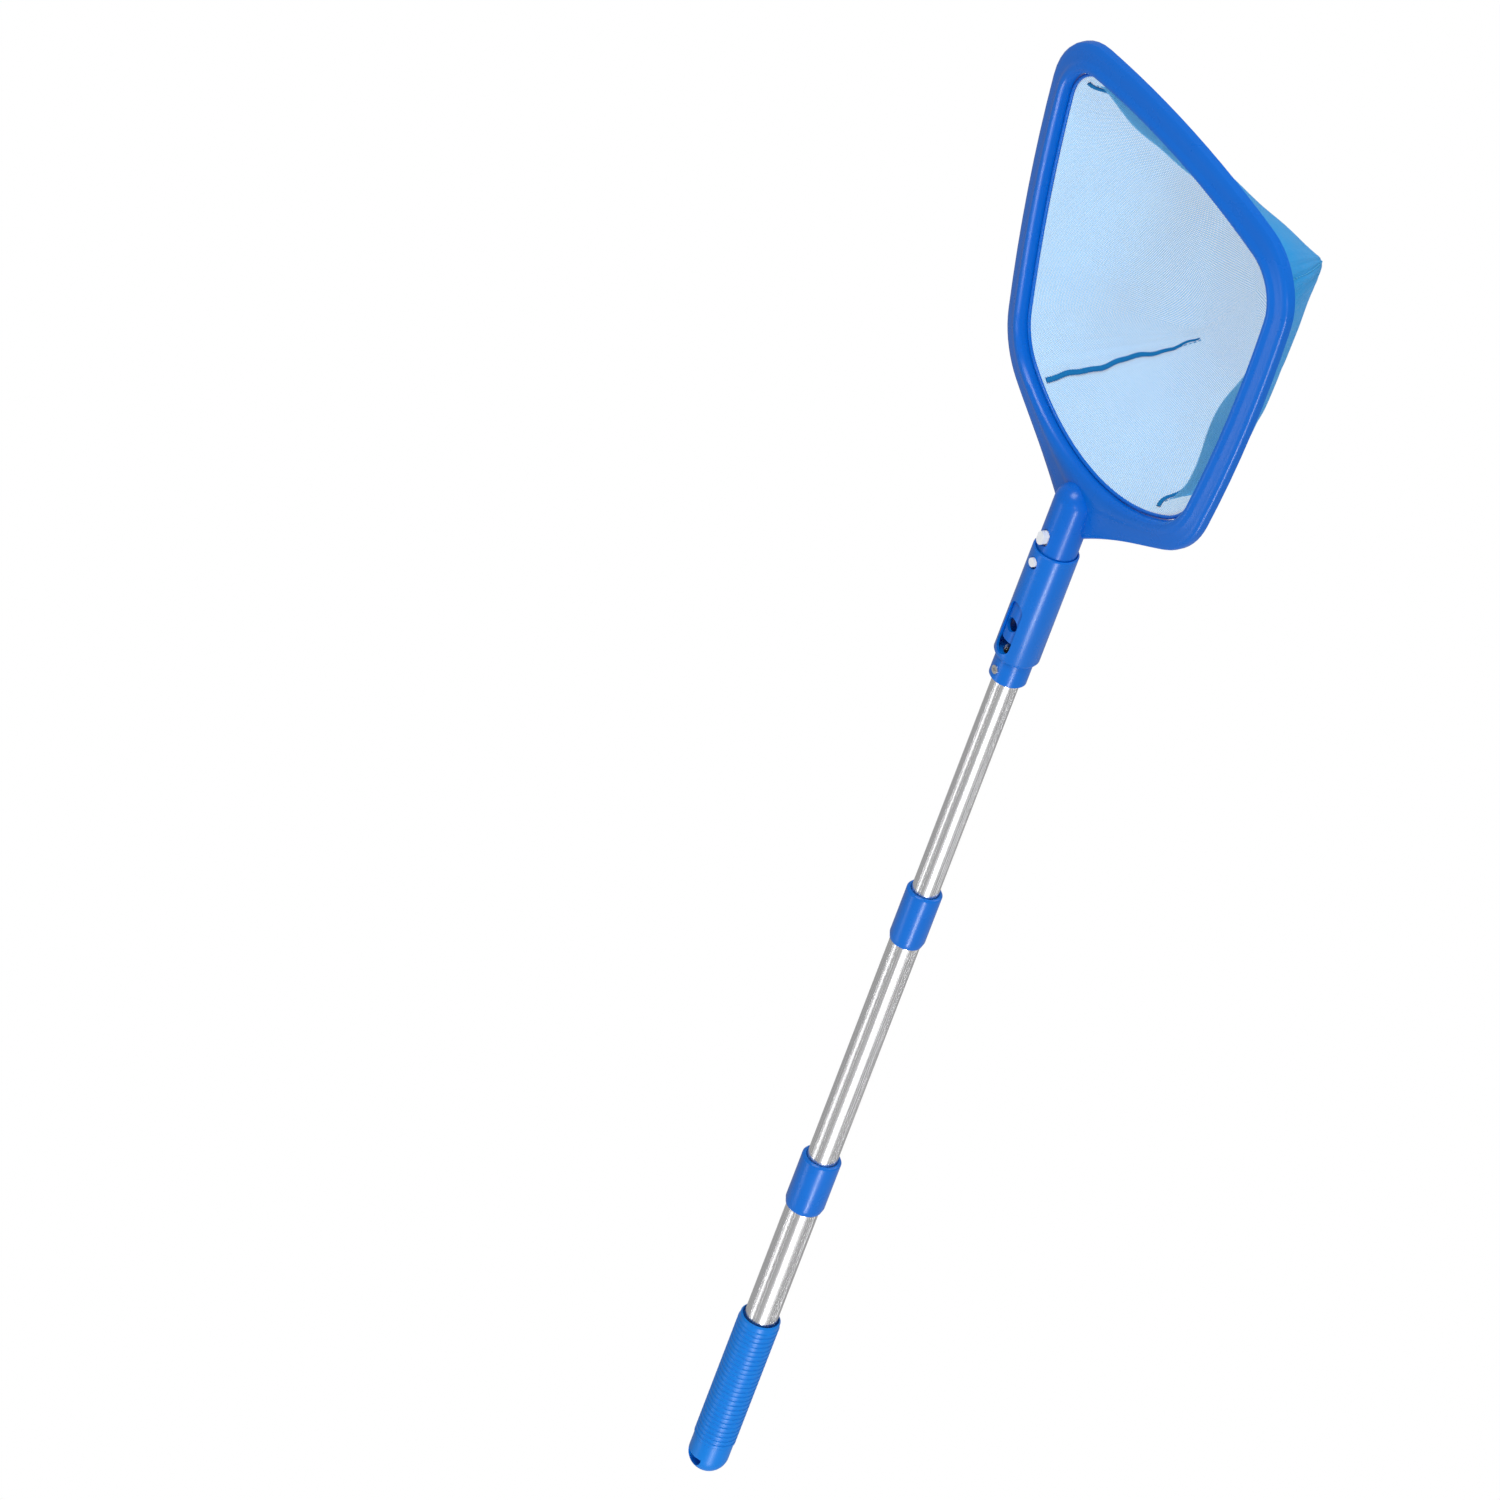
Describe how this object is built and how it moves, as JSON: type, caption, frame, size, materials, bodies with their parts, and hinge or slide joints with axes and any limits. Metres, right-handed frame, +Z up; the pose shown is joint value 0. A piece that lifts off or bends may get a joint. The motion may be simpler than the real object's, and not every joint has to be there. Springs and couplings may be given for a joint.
{
  "type": "leaf skimmer net",
  "caption": "Telescoping three-section pole with twist locks and a plug-on shield-shaped net head for skimming leaves from water.",
  "frame": {"origin": "on the pole's axis, at the middle of the hang hole in the grip", "axes": "+Z up the pole from the grip to the net, -Y out of the net's mouth, X across the net"},
  "size_m": [0.244, 0.0971, 1.0059],
  "materials": {
    "blue_plastic": "smooth moulded blue plastic",
    "frame_plastic": "smooth moulded blue plastic",
    "aluminium": "bright extruded aluminium with fine flutes",
    "white_plastic": "white moulded plastic",
    "steel": "zinc-plated steel",
    "net": "fine pale blue mesh",
    "seam_thread": "blue overlocked thread"
  },
  "bodies": {
    "lower_pole": {"grip": "blue_plastic", "lower_tube": "aluminium", "lower_collar": "blue_plastic"},
    "lower_lock_ring": {"lower_cam_ring": "white_plastic"},
    "middle_pole": {"middle_tube": "aluminium", "upper_collar": "blue_plastic", "lower_cam_plug": "white_plastic", "lower_cam_pin": "steel"},
    "upper_lock_ring": {"upper_cam_ring": "white_plastic"},
    "upper_pole": {"upper_tube": "aluminium", "head_socket": "blue_plastic", "socket_screw": "steel", "socket_rivet": "steel", "upper_cam_plug": "white_plastic", "upper_cam_pin": "steel"},
    "net_head": {"head_frame": "frame_plastic", "net_bag": "net", "net_piping": "seam_thread", "seam_far_left": "seam_thread", "seam_far_right": "seam_thread", "seam_near_left": "seam_thread", "seam_near_right": "seam_thread", "clip_bow": "white_plastic"},
    "front_catch_leg": {"front_catch": "white_plastic"},
    "rear_catch_leg": {"rear_catch": "white_plastic"}
  },
  "joints": [
    {"name": "lower_extend", "type": "slide", "parent": "lower_pole", "child": "lower_lock_ring", "axis": [0, 0, 1], "range_m": [-0.142, 0]},
    {"name": "lower_twist", "type": "hinge", "parent": "lower_lock_ring", "child": "middle_pole", "pos_m": [0, 0, 0.184], "axis": [0, 0, 1], "range_deg": [0, 90]},
    {"name": "upper_extend", "type": "slide", "parent": "middle_pole", "child": "upper_lock_ring", "axis": [0, 0, 1], "range_m": [-0.137, 0]},
    {"name": "upper_twist", "type": "hinge", "parent": "upper_lock_ring", "child": "upper_pole", "pos_m": [0, 0, 0.39], "axis": [0, 0, 1], "range_deg": [0, 90]},
    {"name": "head_pull_off", "type": "slide", "parent": "upper_pole", "child": "net_head", "axis": [0, 0, 1], "range_m": [0, 0.075], "deforming": ["front_catch", "rear_catch"]},
    {"name": "front_catch_press", "type": "hinge", "parent": "net_head", "child": "front_catch_leg", "pos_m": [0, 0, 0.722], "axis": [1, 0, 0], "range_deg": [0, 5.2], "stiffness_Nm_per_rad": 0.4},
    {"name": "rear_catch_press", "type": "hinge", "parent": "net_head", "child": "rear_catch_leg", "pos_m": [0, 0, 0.722], "axis": [-1, 0, 0], "range_deg": [0, 5.2], "stiffness_Nm_per_rad": 0.4}
  ]
}
